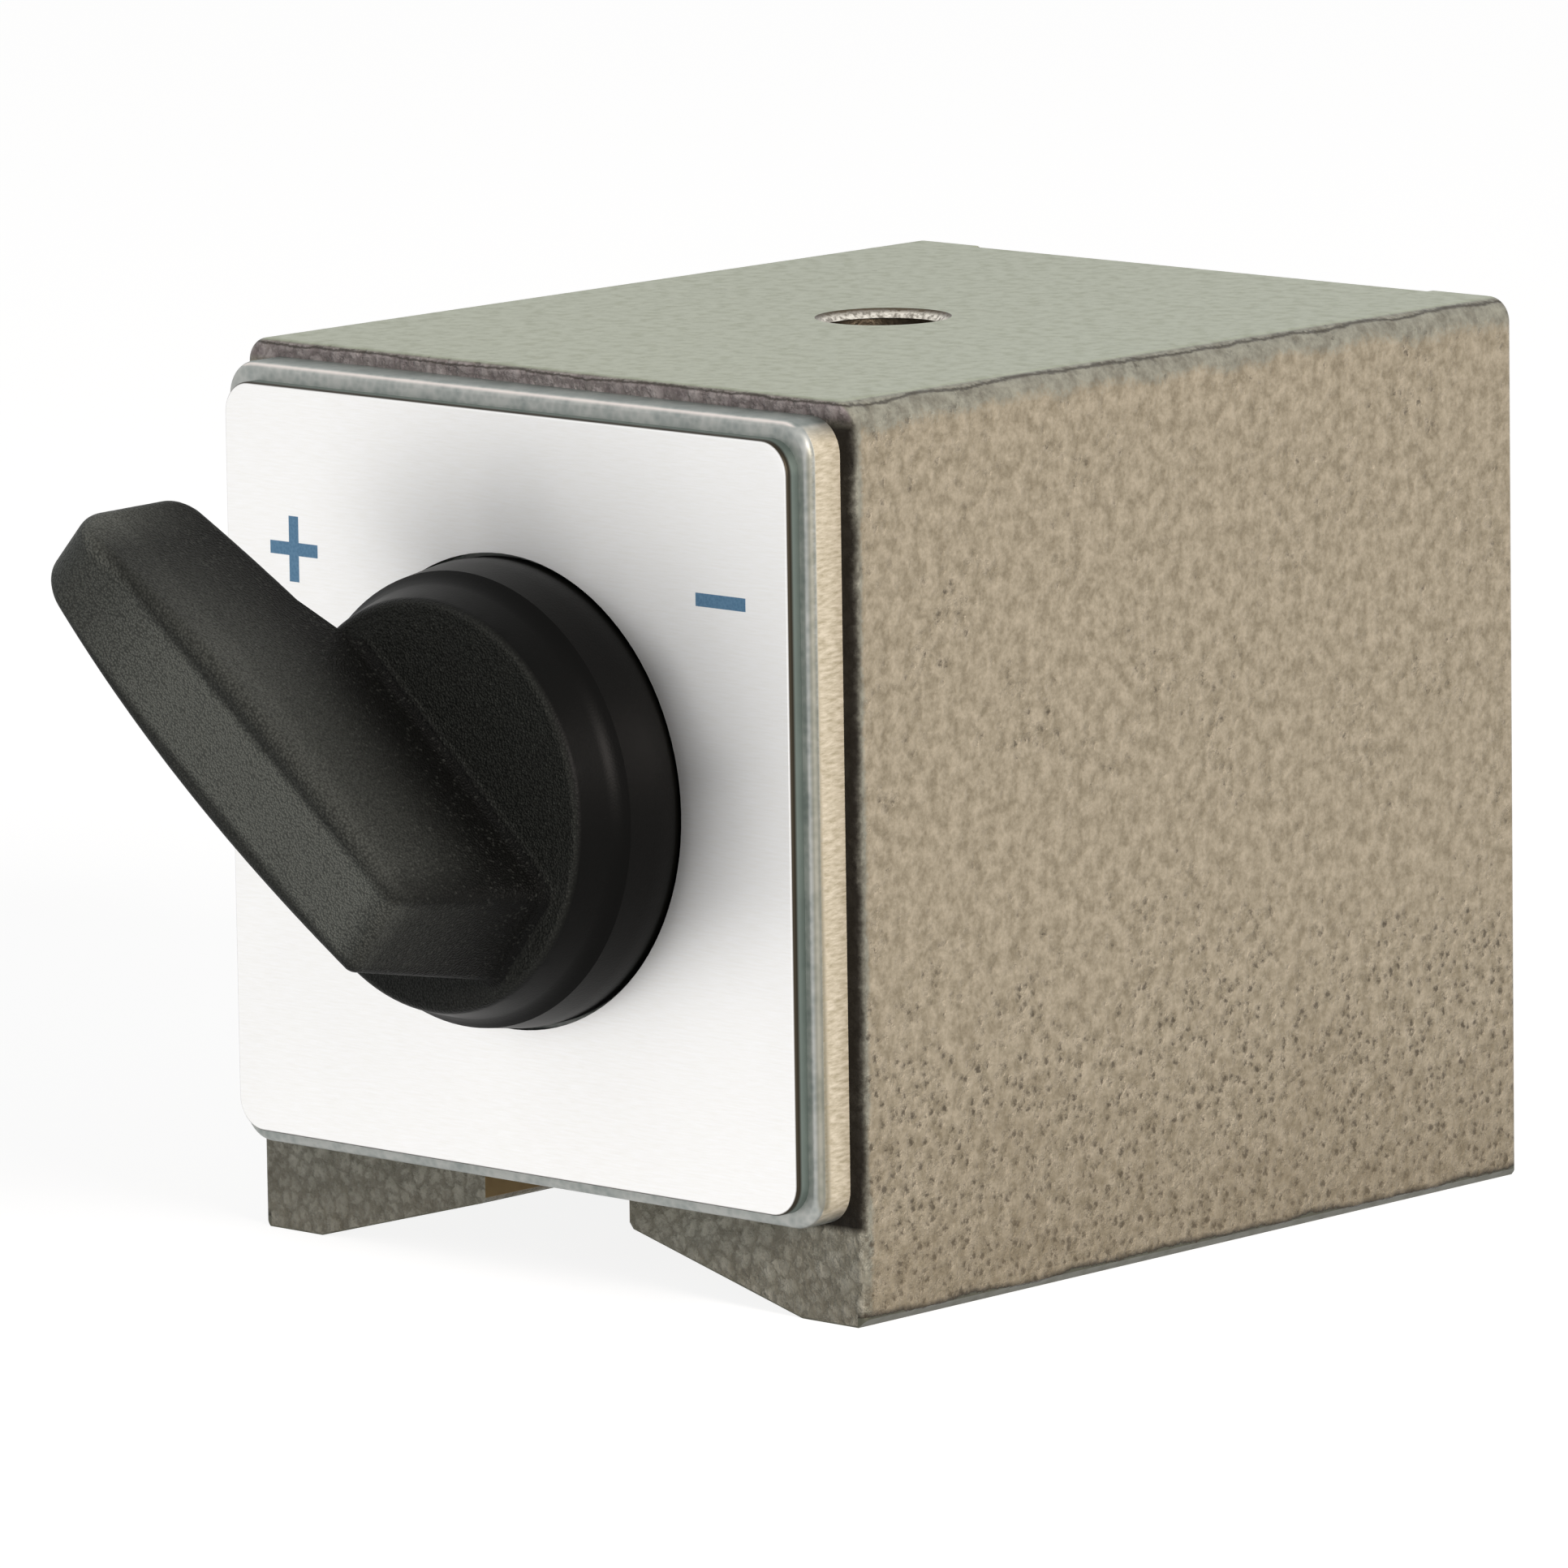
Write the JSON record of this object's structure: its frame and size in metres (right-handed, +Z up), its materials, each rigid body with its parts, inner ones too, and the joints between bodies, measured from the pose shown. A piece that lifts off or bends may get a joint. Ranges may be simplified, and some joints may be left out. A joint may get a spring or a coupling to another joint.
{
  "type": "switchable magnetic base",
  "caption": "Block-shaped magnetic base with a rotary lever on its front face, a threaded hole in the top for an arm and a V-grooved foot.",
  "frame": {"origin": "middle of the plane that the pole feet stand on, under the block's centre and under the threaded hole", "axes": "+Z up, out of the threaded hole; -Y is the front with the lever; +X to the right seen from the front"},
  "size_m": [0.05, 0.085, 0.055],
  "materials": {
    "hammer_paint": "hammered enamel",
    "zinc_steel": "zinc plated",
    "label_metal": "brushed",
    "knob_plastic": "fine grain",
    "screw_steel": "zinc plated",
    "bronze": "turned",
    "brass": "turned",
    "aluminium": "machined",
    "spring_steel": "blued",
    "cast_metal": "die cast",
    "soft_iron": "turned",
    "magnet": "ground ferrite"
  },
  "bodies": {
    "base": {"left_pole": "hammer_paint", "right_pole": "hammer_paint", "top_spacer": "hammer_paint", "bottom_spacer": "hammer_paint", "face_plate": "zinc_steel", "face_plate_screws": "screw_steel", "label_plate": "label_metal", "front_bush": "bronze", "wave_washer": "spring_steel", "stop_pin": "screw_steel", "rear_disc": "aluminium", "rear_bush": "bronze", "thrust_washer": "bronze", "rear_cover": "zinc_steel", "rear_cover_rivets": "screw_steel"},
    "rotor": {"rotor_front_cap": "cast_metal", "rotor_rear_cap": "cast_metal", "rotor_shoe_left": "soft_iron", "rotor_shoe_right": "soft_iron", "rotor_strip_upper": "aluminium", "rotor_strip_lower": "aluminium", "magnet_front": "magnet", "magnet_rear": "magnet", "rotor_tie_rivets": "screw_steel", "knob": "knob_plastic", "knob_insert": "brass", "knob_clip": "spring_steel"}
  },
  "joints": [
    {"name": "lever_turn", "type": "hinge", "parent": "base", "child": "rotor", "pos_m": [0, 0, 0.03], "axis": [0, 1, 0], "range_deg": [0, 90]}
  ]
}
